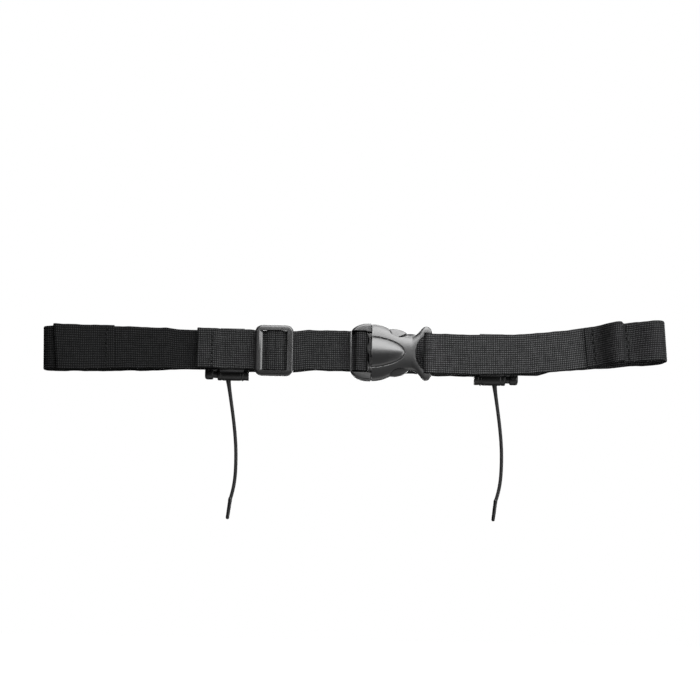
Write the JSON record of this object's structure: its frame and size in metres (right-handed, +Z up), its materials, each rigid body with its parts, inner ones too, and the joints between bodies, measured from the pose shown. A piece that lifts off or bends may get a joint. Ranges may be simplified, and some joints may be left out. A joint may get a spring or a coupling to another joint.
{
  "type": "race number belt",
  "caption": "Elastic webbing belt with a side release buckle, a sliding adjuster, cord toggles that hold a race number, and sewn loops for gel sachets.",
  "frame": {"origin": "middle of the back run of webbing, on its rear face", "axes": "+X along the belt to the wearer's left when worn, +Y out of the rear face, -Y the front with the buckle, +Z up across the webbing; cords hang to -Z"},
  "size_m": [0.3894, 0.028, 0.1234],
  "materials": {
    "webbing": "woven elastic webbing, fine ribs",
    "gel_strip": "woven elastic webbing, soft",
    "thread": "polyester thread",
    "buckle": "satin moulded acetal",
    "adjuster": "satin moulded acetal",
    "toggle": "matt moulded plastic",
    "spring": "spring steel wire",
    "cord": "braided elastic cord",
    "cord_tip": "smooth stiff plastic"
  },
  "bodies": {
    "right_half": {"back_webbing": "webbing", "right_webbing": "webbing", "gel_strip_right": "gel_strip", "stitching_right": "thread", "buckle_socket": "buckle"},
    "left_half": {"left_webbing": "webbing", "adjuster_strap": "webbing", "gel_strip_left": "gel_strip", "stitching_left": "thread", "stitching_tail": "thread", "buckle_plug": "buckle"},
    "prong_upper": {"prong_upper": "buckle"},
    "prong_lower": {"prong_lower": "buckle"},
    "tri_glide": {"tri_glide": "adjuster"},
    "toggle_left": {"toggle_body_left": "toggle", "toggle_spring_left": "spring"},
    "button_left": {"toggle_plunger_left": "toggle"},
    "cord_feed_left": {"cord_run_left": "cord"},
    "cord_left": {"cord_left": "cord", "cord_tip_left": "cord_tip"},
    "toggle_right": {"toggle_body_right": "toggle", "toggle_spring_right": "spring"},
    "button_right": {"toggle_plunger_right": "toggle"},
    "cord_feed_right": {"cord_run_right": "cord"},
    "cord_right": {"cord_right": "cord", "cord_tip_right": "cord_tip"}
  },
  "joints": [
    {"name": "buckle_release", "type": "slide", "parent": "right_half", "child": "left_half", "axis": [-1, 0, 0], "range_m": [0, 0.026], "deforming": ["prong_upper", "prong_lower"]},
    {"name": "prong_upper_flex", "type": "hinge", "parent": "left_half", "child": "prong_upper", "pos_m": [0.00975, -0.0154, 0.0106], "axis": [0, 1, 0], "range_deg": [0, 9], "stiffness_Nm_per_rad": 0.3},
    {"name": "prong_lower_flex", "type": "hinge", "parent": "left_half", "child": "prong_lower", "pos_m": [0.00975, -0.0154, -0.0106], "axis": [0, -1, 0], "range_deg": [0, 9], "stiffness_Nm_per_rad": 0.3},
    {"name": "tri_glide_slide", "type": "slide", "parent": "left_half", "child": "tri_glide", "axis": [1, 0, 0], "range_m": [-0.005, 0.02], "deforming": ["adjuster_strap"]},
    {"name": "toggle_left_slide", "type": "slide", "parent": "left_half", "child": "toggle_left", "axis": [1, 0, 0], "range_m": [-0.025, 0.004]},
    {"name": "button_left_press", "type": "slide", "parent": "toggle_left", "child": "button_left", "axis": [1, 0, 0], "range_m": [0, 0.0025], "stiffness_N_per_m": 600, "deforming": ["toggle_spring_left"]},
    {"name": "cord_left_feed", "type": "slide", "parent": "toggle_left", "child": "cord_feed_left", "axis": [0, 0, -1], "range_m": [0, 0.006]},
    {"name": "cord_left_swing", "type": "hinge", "parent": "cord_feed_left", "child": "cord_left", "pos_m": [-0.0789, -0.00625, -0.0188], "axis": [0, 1, 0], "range_deg": [-25, 25]},
    {"name": "toggle_right_slide", "type": "slide", "parent": "right_half", "child": "toggle_right", "axis": [1, 0, 0], "range_m": [-0.02, 0.02]},
    {"name": "button_right_press", "type": "slide", "parent": "toggle_right", "child": "button_right", "axis": [-1, 0, 0], "range_m": [0, 0.0025], "stiffness_N_per_m": 600, "deforming": ["toggle_spring_right"]},
    {"name": "cord_right_feed", "type": "slide", "parent": "toggle_right", "child": "cord_feed_right", "axis": [0, 0, -1], "range_m": [0, 0.006]},
    {"name": "cord_right_swing", "type": "hinge", "parent": "cord_feed_right", "child": "cord_right", "pos_m": [0.0883, -0.00625, -0.0188], "axis": [0, 1, 0], "range_deg": [-25, 25]}
  ]
}
